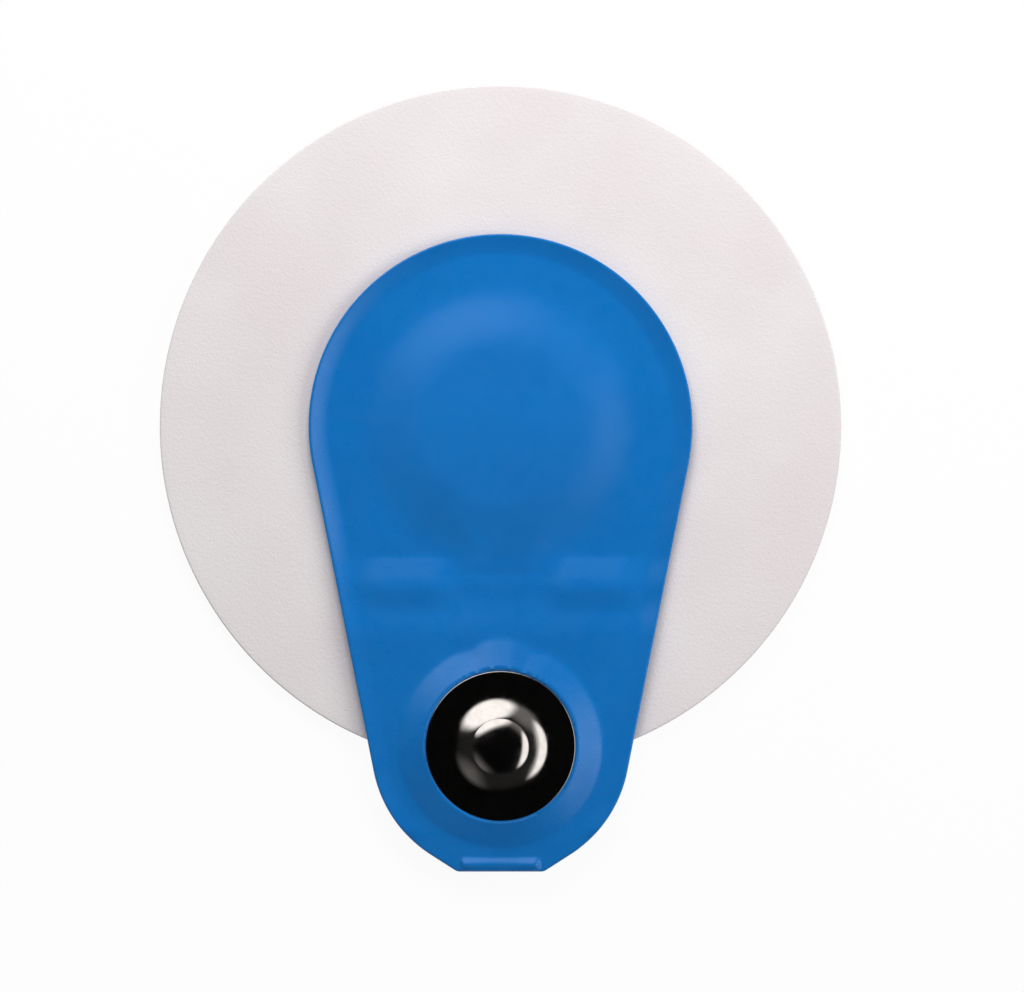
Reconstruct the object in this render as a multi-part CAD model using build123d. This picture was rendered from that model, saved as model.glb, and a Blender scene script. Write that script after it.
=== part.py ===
from build123d import *
import os
from math import asin, cos, sin, sqrt

# ECG electrode with its snap beside the gel: a round foam pad, a gel sponge in its middle, and a blue
# embossed label whose free tab carries the snap. It lies as on the skin: z is 0 at the adhesive face,
# +Z points away from the skin and the tab points along -Y. All lengths are in millimetres.

# Foam pad
pad_diameter = 48.0
foam_thickness = 1.0
foam_ring_width = 15.6

# Gel sponge
sponge_side_gap = 0.2
sponge_edge_drop = 0.25

# Label film: a teardrop about the pad's centre and the snap's centre
film_thickness = 0.4
label_border = 4.35
snap_from_pad_edge = 1.5
tab_border = 1.6
margin_width = 1.2
margin_drop = 0.12

# Square end of the tab and its grip lip
cut_end_trim = 0.25
cut_end_width = 6.1
cut_shoulder_width = 9.5
cut_end_depth = 1.15
lip_length = 5.8
lip_width = 1.0
lip_height = 0.3
lip_from_end = 0.35
lip_edge = 0.15
lip_corner_share = 0.4

# Dome pressed into the label over the gel, which it covers past the hole's edge
dome_past_hole = 0.75
dome_slope_run = 0.85
dome_shoulder_height = 0.4
dome_crown_height = 0.55
dome_edge_blend = 0.35
dome_flat_share = 0.35
dome_bend_share = 0.7

# Sensor strip: disc on the gel, strip along the tab and eye under the snap
strip_width = 3.9
strip_thickness = 0.3
sensor_from_edge = 2.7
sensor_gap = 0.1
eye_past_flange = 1.1
strip_drop_run = 1.2
lay_gap = 0.05

# Channel pressed into the label over the strip, which widens towards the dome
channel_side_run = 0.35
channel_edge = 0.3
tent_start_share = 0.72
tent_foot_share = 0.58
tent_middle_share = 0.355
tent_end_run = 1.8
tent_side_run = 0.8

# Hinge bead where the glued part of the label ends, and the ramp up to the free tab
bead_end_inset = 1.22
bead_width = 1.8
bead_height = 0.3
bead_edge = 0.25
bead_flat = 0.25
ramp_run = 2.35
ramp_flat = 0.25
ramp_round = 4.0

# Seat ring pressed into the label round the snap
seat_ring_width = 2.2
seat_side_run = 0.8
recess_depth = 0.12
recess_gap = 0.1

# Stud of the snap, pressed from thin sheet
sheet_thickness = 0.25
stud_flange_radius = 5.3
stud_rim_edge = 0.15
hub_foot_radius = 3.4
hub_height = 1.25
hub_bend_share = 0.615
neck_radius = 1.75
head_radius = 2.0
head_flare = 0.3
head_land = 0.55
head_edge_run = 0.25
head_edge_rise = 0.5
head_crown_height = 0.9
hub_inside_run_shares = (0.27, -0.08)
hub_inside_rise_shares = (0.46, 0.9)
head_inside_share = 0.55

# Eyelet that rivets the stud to the tab
eyelet_flange_radius = 4.0
eyelet_flange_thickness = 0.25
eyelet_wall = 0.25
eyelet_neck_gap = 0.05
eyelet_flare = 0.25
eyelet_flare_height = 0.35
film_hole_gap = 0.15

# Insulating patch under the eyelet
patch_thickness = 0.15
patch_pan_gap = 0.25
patch_slope_run = 0.9
patch_inset = 0.3

# Overrun of cuts and of bodies that another body trims, and what counts as level or as the same place
overrun = 1.0
tiny = 0.001
sheer_share = 0.5

# Levels of the label's underside over the pad and over the free tab
glued_level = foam_thickness
tab_level = foam_thickness + patch_thickness + eyelet_flange_thickness
bulge_height = strip_thickness + lay_gap

# Radii round the gel and round the snap, and places along the tab on its centre line
gel_hole_radius = pad_diameter / 2 - foam_ring_width
sponge_radius = gel_hole_radius - sponge_side_gap
sensor_radius = sponge_radius - sensor_from_edge
dome_foot_radius = gel_hole_radius + dome_past_hole
label_head_radius = dome_foot_radius + label_border
eye_radius = stud_flange_radius + eye_past_flange
seat_foot_radius = stud_flange_radius + seat_ring_width
patch_radius = seat_foot_radius - patch_inset
tab_end_radius = seat_foot_radius + tab_border
snap_offset = pad_diameter / 2 - snap_from_pad_edge
ramp_end = snap_offset - seat_foot_radius - ramp_flat
ramp_start = ramp_end - ramp_run
bead_from_centre = ramp_start - bead_flat - bead_width / 2
tab_tip = snap_offset + tab_end_radius - cut_end_trim

# Widths across the tab
channel_width = strip_width + 2 * (lay_gap + channel_side_run)
tent_foot_width = 2 * dome_foot_radius * tent_foot_share
tent_middle_width = channel_width + (tent_foot_width - channel_width) * tent_middle_share

# Levels and radii of the snap
stud_seat = tab_level + film_thickness + bulge_height - recess_depth
neck_level = stud_seat + sheet_thickness + hub_height
land_foot = neck_level + head_flare
land_top = land_foot + head_land
post_radius = neck_radius - sheet_thickness - eyelet_neck_gap

# Crown of the dome, a sphere whose centre lies far under the pad
dome_shoulder_radius = dome_foot_radius - dome_slope_run
crown_top = glued_level + film_thickness + dome_shoulder_height + dome_crown_height
crown_radius = (dome_shoulder_radius**2 + dome_crown_height**2) / (2 * dome_crown_height)
crown_centre = crown_top - crown_radius


def crown_level(drop, distance):
    """Height of the crown, lowered by drop, at a distance from the dome's axis."""
    return crown_centre + sqrt((crown_radius - drop) ** 2 - distance**2)


# Level of the sensor disc's underside, which lies on the gel
sensor_level = crown_level(film_thickness, sensor_radius) - sensor_gap - strip_thickness


def side_region(lift):
    """Region under the label's underside raised by lift, seen from the side: pad, ramp and tab."""
    front = label_head_radius + overrun
    back = -(snap_offset + tab_end_radius + overrun)
    surface = FilletPolyline(
        (front, glued_level + lift),
        (-ramp_start, glued_level + lift),
        (-ramp_end, tab_level + lift),
        (back, tab_level + lift),
        radius=ramp_round,
    )
    rest = Polyline((back, tab_level + lift), (back, 0), (front, 0), (front, glued_level + lift))
    return make_face(Plane.YZ * (surface + rest))


def under_surface(lift, half_width):
    """Body under the raised underside, as wide as asked."""
    return extrude(side_region(lift), half_width, both=True)


def lean_angle():
    """Angle by which the label's straight sides close in towards the tab's end."""
    return asin((label_head_radius - tab_end_radius) / snap_offset)


def half_width_at(distance):
    """Half the label's width at a distance from the pad's centre, between its straight sides."""
    return (label_head_radius - distance * sin(lean_angle())) / cos(lean_angle())


def teardrop(inset):
    """Outline of the label moved inwards by inset: two circles and their common tangents."""
    head = label_head_radius - inset
    tab = tab_end_radius - inset
    lean = lean_angle()
    head_x = head * cos(lean)
    head_y = -head * sin(lean)
    tab_x = tab * cos(lean)
    tab_y = -snap_offset - tab * sin(lean)
    middle = Polygon((-head_x, head_y), (-tab_x, tab_y), (tab_x, tab_y), (head_x, head_y), align=None)
    return Circle(head) + Pos(0, -snap_offset) * Circle(tab) + middle


def dome_body(drop):
    """Dome of the label with eased foot and shoulder and a crowned top, or the hollow under it."""
    rise = dome_shoulder_height / dome_slope_run * dome_edge_blend
    foot_level = glued_level + film_thickness - drop
    shoulder_level = foot_level + dome_shoulder_height
    inner_shoulder = dome_shoulder_radius - dome_edge_blend
    flat_radius = dome_shoulder_radius * dome_flat_share
    bend_radius = dome_shoulder_radius * dome_bend_share
    section = Plane.XZ * Polygon(
        (0, 0),
        (dome_foot_radius + dome_edge_blend, 0),
        (dome_foot_radius + dome_edge_blend, foot_level),
        (dome_foot_radius - dome_edge_blend, foot_level + rise),
        (dome_shoulder_radius + dome_edge_blend, shoulder_level - rise),
        (inner_shoulder, crown_level(drop, inner_shoulder)),
        (bend_radius, crown_level(drop, bend_radius)),
        (flat_radius, crown_level(drop, flat_radius)),
        (0, crown_level(drop, flat_radius)),
        align=None,
    )
    return revolve(section, Axis.Z)


def tent_section(place, width, side_run, top, drop):
    """One section of the tent between the dome and the channel, across the tab."""
    foot = width / 2 - drop
    shoulder = foot - side_run
    foot_level = glued_level + film_thickness - drop
    across = Polygon(
        (-foot, 0),
        (foot, 0),
        (foot, foot_level),
        (shoulder, top - drop),
        (-shoulder, top - drop),
        (-foot, foot_level),
        align=None,
    )
    return Plane.XZ.offset(place) * across


def tent_body(drop):
    """Film stretched from the dome down to the channel, or the hollow under it."""
    start = dome_foot_radius * tent_start_share
    strip_top = crown_level(film_thickness, sponge_radius) + film_thickness
    channel_top = glued_level + film_thickness + bulge_height
    end = sponge_radius + tent_end_run
    sections = [
        tent_section(start, tent_foot_width, tent_side_run, crown_level(0, start), drop),
        tent_section(sponge_radius, tent_middle_width, tent_side_run, strip_top, drop),
        tent_section(end, channel_width, channel_side_run, channel_top, drop),
    ]
    return loft(sections)


def slice_along(near, far, lift, half_width):
    """Body under the raised underside between two distances from the pad's centre."""
    height = 2 * (tab_level + film_thickness + bulge_height)
    window = Pos(0, -(near + far) / 2, 0) * Box(2 * half_width, far - near, 2 * height)
    return under_surface(lift, half_width) & window


def channel_ridge():
    """Film over the strip, with sloped sides, from the tent to the seat ring."""
    half_width = channel_width / 2
    far = snap_offset - stud_flange_radius - (seat_ring_width - seat_side_run) / 2
    ridge = slice_along(sponge_radius + tent_end_run, far, film_thickness + bulge_height, half_width)
    tops = [f for f in ridge.faces() if f.normal_at().Z > sheer_share]
    long_edges = [e for f in tops for e in f.edges() if abs(abs(e.center().X) - half_width) < tiny]
    return chamfer(long_edges, channel_edge)


def channel_hollow():
    half_width = strip_width / 2 + lay_gap
    return slice_along(sponge_radius, snap_offset, bulge_height, half_width)


def bead_body(drop):
    """Hinge bead across the label, or the groove under it."""
    length = 2 * (half_width_at(bead_from_centre) - bead_end_inset)
    plan = SlotOverall(length - 2 * drop, bead_width - 2 * drop)
    top = glued_level + film_thickness + bead_height - drop
    return Pos(0, -bead_from_centre, 0) * extrude(plan, top)


def seat_ring():
    """Raised ring that the stud's flange sits in."""
    foot = tab_level + film_thickness
    top = foot + bulge_height
    section = Plane.XZ * Polygon(
        (0, 0),
        (seat_foot_radius, 0),
        (seat_foot_radius, foot),
        (seat_foot_radius - seat_side_run, top),
        (0, top),
        align=None,
    )
    return Pos(0, -snap_offset, 0) * revolve(section, Axis.Z)


def tab_end():
    """Square end of the tab, with slanted corners, and the grip lip across it."""
    top = tab_level + film_thickness
    plan = Polygon(
        (-cut_end_width / 2, -tab_tip),
        (cut_end_width / 2, -tab_tip),
        (cut_shoulder_width / 2, cut_end_depth - tab_tip),
        (-cut_shoulder_width / 2, cut_end_depth - tab_tip),
        align=None,
    )
    block = extrude(plan, top)
    bar = extrude(RectangleRounded(lip_length, lip_width, lip_width * lip_corner_share), top + lip_height)
    bar = chamfer(bar.faces().sort_by(Axis.Z)[-1].edges(), lip_edge)
    return block + Pos(0, lip_from_end + lip_width / 2 - tab_tip, 0) * bar


def tab_label():
    plan_height = 2 * (tab_level + film_thickness)
    whole = extrude(teardrop(0), plan_height)
    inner = extrude(teardrop(margin_width), plan_height)
    reach = label_head_radius + overrun
    label = under_surface(film_thickness - margin_drop, reach) & whole
    label += under_surface(film_thickness, reach) & inner
    past_tip = tab_end_radius + overrun
    label -= Pos(0, -tab_tip - past_tip / 2, 0) * Box(2 * past_tip, past_tip, 2 * plan_height)
    bead = bead_body(0)
    label += chamfer(bead.faces().sort_by(Axis.Z)[-1].edges(), bead_edge)
    label += dome_body(0)
    label += tent_body(0)
    label += channel_ridge()
    label += seat_ring()
    label += tab_end()
    label -= under_surface(0, reach)
    label -= dome_body(film_thickness)
    label -= tent_body(film_thickness)
    label -= channel_hollow()
    label -= bead_body(film_thickness)
    pocket_top = tab_level + bulge_height
    at_snap = Pos(0, -snap_offset, 0)
    label -= at_snap * extrude(Circle(eye_radius + 2 * lay_gap), pocket_top)
    label -= at_snap * extrude(Circle(post_radius + film_hole_gap), plan_height)
    label -= Pos(0, -snap_offset, stud_seat) * extrude(Circle(stud_flange_radius + recess_gap), plan_height)
    return label


def foam_disc():
    return extrude(Circle(pad_diameter / 2) - Circle(gel_hole_radius), foam_thickness)


def strip_arm():
    """Strip from the sensor disc over the gel's edge, along the pad and up the ramp to the eye."""
    places = [
        (0, sensor_level),
        (-sensor_radius, sensor_level),
        (-sponge_radius, sensor_level - sponge_edge_drop),
        (-sponge_radius - strip_drop_run, glued_level),
        (-ramp_start, glued_level),
        (-ramp_end, tab_level),
        (-snap_offset, tab_level),
    ]
    raised = [(y, z + strip_thickness) for y, z in places]
    rounds = [0, 0, 0, ramp_round, ramp_round]
    under = FilletPolyline(*places, radius=rounds)
    over = FilletPolyline(*raised, radius=rounds)
    ends = Line(places[0], raised[0]) + Line(places[-1], raised[-1])
    return extrude(make_face(Plane.YZ * (under + over + ends)), strip_width / 2, both=True)


def sensor_strip():
    disc = Pos(0, 0, sensor_level) * extrude(Circle(sensor_radius), strip_thickness)
    eye = Pos(0, -snap_offset, tab_level) * extrude(Circle(eye_radius), strip_thickness)
    strip = disc + strip_arm() + eye
    return strip - Pos(0, -snap_offset, 0) * extrude(Circle(post_radius + film_hole_gap), 2 * tab_level)


def gel_sponge():
    section = Plane.XZ * Polygon(
        (0, 0),
        (sponge_radius, 0),
        (sponge_radius, sensor_level - sponge_edge_drop),
        (sensor_radius, sensor_level),
        (0, sensor_level),
        align=None,
    )
    return revolve(section, Axis.Z)


def stud_outside():
    """Section of the stud's outer form: flange, hollow-sided hub, neck and a crowned head."""
    flange_top = stud_seat + sheet_thickness
    head_top = land_top + head_crown_height
    edge_radius = head_radius - head_edge_run
    edge_level = land_top + head_edge_rise
    bulge = head_crown_height - head_edge_rise
    bulge_radius = (edge_radius**2 + bulge**2) / (2 * bulge)
    crown = RadiusArc((0, head_top), (edge_radius, edge_level), bulge_radius)
    side = Polyline(
        (edge_radius, edge_level),
        (head_radius, land_top),
        (head_radius, land_foot),
        (neck_radius, neck_level),
    )
    hub = Bezier(
        (neck_radius, neck_level),
        (neck_radius, flange_top + hub_height * hub_bend_share),
        (hub_foot_radius, flange_top),
    )
    flange = Polyline(
        (hub_foot_radius, flange_top),
        (stud_flange_radius - stud_rim_edge, flange_top),
        (stud_flange_radius, flange_top - stud_rim_edge),
        (stud_flange_radius, stud_seat),
        (0, stud_seat),
        (0, head_top),
    )
    return make_face(Plane.XZ * (crown + side + hub + flange))


def stud_inside():
    """Section of the hollow in the stud, a sheet's thickness inside, with straight sides."""
    head_inside = head_radius - sheet_thickness
    hub_run = hub_foot_radius - neck_radius
    hub_inside = [
        (neck_radius + hub_run * run_share, stud_seat + hub_height * rise_share)
        for run_share, rise_share in zip(hub_inside_run_shares, hub_inside_rise_shares)
    ]
    return Plane.XZ * Polygon(
        (0, stud_seat),
        (hub_foot_radius - sheet_thickness / 2, stud_seat),
        *hub_inside,
        (neck_radius - sheet_thickness, neck_level),
        (head_inside, land_foot),
        (head_inside, land_top),
        (head_radius * head_inside_share, land_top + head_crown_height * head_inside_share),
        (0, land_top + head_crown_height - sheet_thickness),
        align=None,
    )


def snap_stud():
    return Pos(0, -snap_offset, 0) * revolve(stud_outside() - stud_inside(), Axis.Z)


def snap_eyelet():
    bottom = foam_thickness + patch_thickness
    bore = post_radius - eyelet_wall
    section = Plane.XZ * Polygon(
        (bore, bottom),
        (eyelet_flange_radius, bottom),
        (eyelet_flange_radius, tab_level),
        (post_radius, tab_level),
        (post_radius, land_foot),
        (post_radius + eyelet_flare, land_foot + eyelet_flare_height),
        (bore + eyelet_flare, land_foot + eyelet_flare_height),
        (bore, land_foot),
        align=None,
    )
    return Pos(0, -snap_offset, 0) * revolve(section, Axis.Z)


def backing_patch():
    pan = eyelet_flange_radius + patch_pan_gap
    brim_start = pan + patch_slope_run
    bottom = foam_thickness
    section = Plane.XZ * Polygon(
        (0, bottom),
        (pan, bottom),
        (brim_start, tab_level - patch_thickness),
        (patch_radius, tab_level - patch_thickness),
        (patch_radius, tab_level),
        (brim_start, tab_level),
        (pan, bottom + patch_thickness),
        (0, bottom + patch_thickness),
        align=None,
    )
    return Pos(0, -snap_offset, 0) * revolve(section, Axis.Z)


pieces = {
    "foam_disc": foam_disc,
    "gel_sponge": gel_sponge,
    "sensor_strip": sensor_strip,
    "tab_label": tab_label,
    "snap_stud": snap_stud,
    "snap_eyelet": snap_eyelet,
    "backing_patch": backing_patch,
}
os.makedirs("parts", exist_ok=True)
for name, make in pieces.items():
    export_step(make(), f"parts/{name}.step")
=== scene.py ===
"""ECG electrode with its snap beside the gel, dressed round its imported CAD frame.

The part lies as on the skin: Z is 0 at the adhesive face and the tab points along -Y. The classes hold
their sizes in millimetres, and the meshes are made in metres.
"""

import logging
import math
from dataclasses import dataclass
from enum import Enum

import bmesh
import bpy
import numpy as np
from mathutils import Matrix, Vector


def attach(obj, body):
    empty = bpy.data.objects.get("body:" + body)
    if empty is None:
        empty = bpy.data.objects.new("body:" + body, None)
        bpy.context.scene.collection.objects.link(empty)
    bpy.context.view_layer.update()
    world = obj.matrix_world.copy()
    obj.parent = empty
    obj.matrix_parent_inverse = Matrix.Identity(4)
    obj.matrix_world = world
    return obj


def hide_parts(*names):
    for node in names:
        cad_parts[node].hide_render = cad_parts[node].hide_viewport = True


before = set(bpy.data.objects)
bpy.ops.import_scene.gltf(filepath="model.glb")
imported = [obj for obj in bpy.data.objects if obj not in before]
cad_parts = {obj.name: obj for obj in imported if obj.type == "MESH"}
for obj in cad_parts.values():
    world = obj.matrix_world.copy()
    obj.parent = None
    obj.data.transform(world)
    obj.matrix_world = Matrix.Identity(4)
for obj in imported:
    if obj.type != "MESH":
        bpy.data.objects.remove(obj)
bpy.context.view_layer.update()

LOG = logging.getLogger("electrode")
MM = 0.001
MERGE_METRES = 1e-7
Point = tuple[float, float]
Socket = bpy.types.NodeSocket
Material = bpy.types.Material

# Places that several pieces share, in millimetres
SNAP_OFFSET = 22.5
PAD_TOP = 1.0


class Slot(Enum):
    """Names of the material slots."""

    FOAM = "foam"
    GEL = "gel"
    CONDUCTOR = "conductor"
    LABEL = "label"
    STUD = "stud"
    EYELET = "eyelet"
    PATCH = "patch"


class Ray(Enum):
    """Kinds of ray that a studio surface answers in its own way."""

    CAMERA = "Is Camera Ray"
    GLOSSY = "Is Glossy Ray"
    TRANSMISSION = "Is Transmission Ray"
    DIFFUSE = "Is Diffuse Ray"


# Node trees


class NodeBook:
    """Short calls for the nodes of one tree."""

    def __init__(self, tree: bpy.types.NodeTree) -> None:
        """Keep a tree of a material, of the world or of a modifier, and empty it."""
        self.tree = tree
        tree.nodes.clear()

    def add(self, kind: str, inputs: dict | None = None, **settings: object) -> bpy.types.Node:
        """Add a node with some of its properties and, by name or number, some of its inputs."""
        node = self.tree.nodes.new(kind)
        for key, value in settings.items():
            setattr(node, key, value)
        for key, value in (inputs or {}).items():
            self.fill(node.inputs[key], value)
        return node

    def link(self, source: Socket, target: Socket) -> None:
        """Join an output to an input."""
        self.tree.links.new(source, target)

    def fill(self, socket: Socket, value: object) -> None:
        """Link a socket's value if it is an output, and set it otherwise."""
        if isinstance(value, Socket):
            self.link(value, socket)
        else:
            socket.default_value = value

    def math(self, operation: str, *values: object) -> Socket:
        """Add a Math node for numbers or outputs and return its output."""
        return self.add("ShaderNodeMath", dict(enumerate(values)), operation=operation).outputs[0]

    def dot(self, vector: Socket, axis: Vector) -> Socket:
        """Length of a vector along a fixed axis."""
        node = self.add("ShaderNodeVectorMath", {0: vector, 1: axis}, operation="DOT_PRODUCT")
        return node.outputs["Value"]

    def spread(
        self,
        value: Socket,
        low: float,
        high: float,
        to_low: float = 0.0,
        to_high: float = 1.0,
    ) -> Socket:
        """Map a value smoothly from one range to another.

        Args:
            value: Output to map.
            low: Value that gives to_low.
            high: Value that gives to_high.
            to_low: Start of the new range.
            to_high: End of the new range.

        Returns:
            The mapped value.
        """
        inputs = dict(enumerate((value, low, high, to_low, to_high)))
        return self.add("ShaderNodeMapRange", inputs, interpolation_type="SMOOTHSTEP").outputs[0]

    def noise(
        self, place: Socket, scale: float, detail: float = 2.0, roughness: float = 0.5
    ) -> Socket:
        """Noise on a place.

        Args:
            place: Coordinates.
            scale: Cells per metre.
            detail: Octaves.
            roughness: Weight of the finer octaves.

        Returns:
            The noise, round 0.5.
        """
        inputs = {"Vector": place, "Scale": scale, "Detail": detail, "Roughness": roughness}
        return self.add("ShaderNodeTexNoise", inputs).outputs["Fac"]

    def cells(self, place: Socket, scale: float) -> Socket:
        """Distance to the middle of the nearest cell, in cells, with so many cells per metre."""
        node = self.add("ShaderNodeTexVoronoi", {"Vector": place, "Scale": scale}, feature="F1")
        return node.outputs["Distance"]

    def tint(self, share: Socket, first: tuple, second: tuple) -> Socket:
        """Mix two linear colours, or outputs, by the share of the second."""
        node = self.add("ShaderNodeMix", {0: share}, data_type="RGBA")
        for socket, colour in ((node.inputs[6], first), (node.inputs[7], second)):
            self.fill(socket, (*colour, 1.0) if isinstance(colour, tuple) else colour)
        return node.outputs[2]

    def mix(self, *values: object) -> Socket:
        """Mix two shaders, which follow the share of the second."""
        return self.add("ShaderNodeMixShader", dict(enumerate(values))).outputs[0]

    def rays(self, *kinds: Ray) -> Socket:
        """One for rays of these kinds, and zero for the rest."""
        path = self.add("ShaderNodeLightPath")
        total = path.outputs[kinds[0].value]
        for kind in kinds[1:]:
            total = self.math("MAXIMUM", total, path.outputs[kind.value])
        return total


class Surface(NodeBook):
    """A material with one Principled shader, whose pattern lies on Object coordinates."""

    def __init__(self, name: str, **settings: float) -> None:
        """Make the material.

        Args:
            name: Name of the finish.
            **settings: Values of the shader's sockets, with underscores for spaces.
        """
        self.material = bpy.data.materials.new(name)
        self.material.use_nodes = True
        super().__init__(self.material.node_tree)
        self.shader = self.add("ShaderNodeBsdfPrincipled")
        self.add("ShaderNodeOutputMaterial", {"Surface": self.shader.outputs[0]})
        self.place = self.add("ShaderNodeTexCoord").outputs["Object"]
        for key, value in settings.items():
            self.shader.inputs[key.replace("_", " ")].default_value = value

    def put(self, socket: str, value: object) -> None:
        """Give a value or an output to one of the shader's sockets."""
        self.fill(self.shader.inputs[socket], value)

    def relief(self, *layers: tuple[Socket, float]) -> None:
        """Give the surface fine relief.

        Args:
            *layers: Height pattern and its depth in millimetres, for each layer.
        """
        normal = None
        for height, depth in layers:
            bump = self.add("ShaderNodeBump", {"Height": height, "Distance": depth * MM})
            if normal is not None:
                self.link(normal, bump.inputs["Normal"])
            normal = bump.outputs[0]
        self.link(normal, self.shader.inputs["Normal"])


# Finishes


@dataclass(frozen=True)
class FilmFinish:
    """Satin blue film, pressed in a mould and rougher over the dome."""

    colour: tuple = (0.0016, 0.181, 0.572)
    deep: tuple = (0.0014, 0.169, 0.540)
    roughness: float = 0.29
    roughness_spread: float = 0.04
    pressed_roughness: float = 0.36
    pressed_radius: float = 9.0
    pressed_fade: float = 2.0

    def pressed(self, s: Surface) -> Socket:
        """Roughness that the dome adds, by distance from the pad's axis."""
        plan = s.add("ShaderNodeVectorMath", {0: s.place, 1: (1.0, 1.0, 0.0)}, operation="MULTIPLY")
        reach = s.add("ShaderNodeVectorMath", {0: plan.outputs[0]}, operation="LENGTH")
        start = (self.pressed_radius - self.pressed_fade) * MM
        end = (self.pressed_radius + self.pressed_fade) * MM
        return s.spread(reach.outputs["Value"], start, end, self.pressed_roughness - self.roughness, 0.0)

    def material(self) -> Material:
        """Build the material."""
        s = Surface("film_blue_satin", Specular_IOR_Level=0.75, IOR=1.48)
        cloud = s.noise(s.place, scale=190.0, detail=3.0)
        s.put("Base Color", s.tint(s.spread(cloud, 0.3, 0.7), self.colour, self.deep))
        satin = s.noise(s.place, scale=900.0)
        low, high = self.roughness - self.roughness_spread, self.roughness + self.roughness_spread
        s.put("Roughness", s.math("ADD", s.spread(satin, 0.25, 0.75, low, high), self.pressed(s)))
        s.relief((s.noise(s.place, scale=240.0), 0.014), (s.noise(s.place, scale=5200.0), 0.0012))
        return s.material


@dataclass(frozen=True)
class FoamFinish:
    """White closed-cell foam, tacky on its underside."""

    colour: tuple = (0.862, 0.818, 0.818)
    shade: tuple = (0.816, 0.754, 0.764)
    adhesive: tuple = (0.80, 0.78, 0.70)
    roughness: float = 0.62
    tacky_roughness: float = 0.22
    tacky_levels: Point = (0.03, 0.08)

    def material(self) -> Material:
        """Build the material."""
        s = Surface("foam_white", IOR=1.45, Specular_IOR_Level=0.3)
        cloud = s.noise(s.place, scale=62.0, detail=3.0, roughness=0.55)
        foam = s.tint(s.spread(cloud, 0.3, 0.7), self.colour, self.shade)
        height = s.add("ShaderNodeSeparateXYZ", {0: s.place})
        low, high = self.tacky_levels
        tacky = s.spread(height.outputs["Z"], low * MM, high * MM, 1.0, 0.0)
        s.put("Base Color", s.tint(tacky, foam, self.adhesive))
        s.put("Roughness", s.spread(tacky, 0.0, 1.0, self.roughness, self.tacky_roughness))
        pores = s.math("ADD", s.cells(s.place, scale=4200.0), s.cells(s.place, scale=7300.0))
        s.relief((s.noise(s.place, scale=480.0, detail=3.0), 0.009), (pores, 0.011))
        return s.material


@dataclass(frozen=True)
class GelFinish:
    """Fine open sponge, soaked with clear gel."""

    wet: tuple = (0.62, 0.71, 0.66)
    pore: tuple = (0.42, 0.52, 0.48)

    def material(self) -> Material:
        """Build the material."""
        s = Surface("gel_sponge_wet", Roughness=0.28, IOR=1.36, Coat_Weight=0.7, Coat_Roughness=0.06)
        pores = s.cells(s.place, scale=2300.0)
        s.put("Base Color", s.tint(s.spread(pores, 0.15, 0.55, 1.0, 0.0), self.wet, self.pore))
        s.relief((pores, 0.05), (s.noise(s.place, scale=420.0), 0.03))
        return s.material


@dataclass(frozen=True)
class MetalFinish:
    """Nickel-plated brass, bright from rolling and pressing."""

    name: str = "nickel_bright"
    colour: tuple = (0.69, 0.66, 0.64)
    warm: tuple = (0.65, 0.61, 0.58)
    roughness: float = 0.10
    polish: float = 0.03
    wear: float = 0.05

    def material(self) -> Material:
        """Build the material."""
        s = Surface(self.name, Metallic=1.0)
        centred = s.add("ShaderNodeMapping", {"Vector": s.place, "Location": (0.0, SNAP_OFFSET * MM, 0.0)})
        marks = {"Vector": centred.outputs[0], "Scale": 2600.0, "Distortion": 1.5}
        turning = s.add("ShaderNodeTexWave", marks, wave_type="RINGS", rings_direction="Z")
        spots = s.noise(s.place, scale=1600.0, detail=3.0)
        s.put("Base Color", s.tint(s.spread(spots, 0.35, 0.7), self.colour, self.warm))
        low, high = self.roughness - self.polish, self.roughness + self.wear
        s.put("Roughness", s.spread(spots, 0.2, 0.8, low, high))
        s.relief((turning.outputs["Fac"], 0.0004), (s.noise(s.place, scale=3000.0), 0.0006))
        return s.material


@dataclass(frozen=True)
class ConductorFinish:
    """Thin film with a grey silver and silver-chloride ink."""

    ink: tuple = (0.42, 0.42, 0.44)
    worn: tuple = (0.55, 0.55, 0.56)
    roughness: Point = (0.42, 0.6)

    def material(self) -> Material:
        """Build the material."""
        s = Surface("silver_ink", Metallic=0.35)
        grain = s.noise(s.place, scale=2600.0, detail=3.0, roughness=0.6)
        s.put("Base Color", s.tint(s.spread(grain, 0.35, 0.65), self.ink, self.worn))
        s.put("Roughness", s.spread(grain, 0.2, 0.8, *self.roughness))
        s.relief((grain, 0.008))
        return s.material


@dataclass(frozen=True)
class PatchFinish:
    """Milky insulating film with a fine press grain."""

    colour: tuple = (0.74, 0.76, 0.78)
    thick: tuple = (0.66, 0.69, 0.72)
    roughness: Point = (0.36, 0.48)

    def material(self) -> Material:
        """Build the material."""
        s = Surface("patch_milky", IOR=1.46)
        cloud = s.noise(s.place, scale=420.0)
        s.put("Base Color", s.tint(s.spread(cloud, 0.3, 0.7), self.colour, self.thick))
        s.put("Roughness", s.spread(cloud, 0.2, 0.8, *self.roughness))
        s.relief((s.cells(s.place, scale=3800.0), 0.006))
        return s.material


# Meshes


def finish_mesh(mesh: bpy.types.Mesh, sharp_degrees: float) -> None:
    """Merge doubled points, turn the faces outwards and shade smoothly up to an angle.

    Args:
        mesh: Mesh of a closed piece.
        sharp_degrees: Edges that turn more than this stay sharp.
    """
    work = bmesh.new()
    work.from_mesh(mesh)
    bmesh.ops.remove_doubles(work, verts=work.verts, dist=MERGE_METRES)
    bmesh.ops.recalc_face_normals(work, faces=work.faces)
    work.to_mesh(mesh)
    work.free()
    mesh.shade_smooth()
    mesh.set_sharp_from_angle(angle=math.radians(sharp_degrees))


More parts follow.
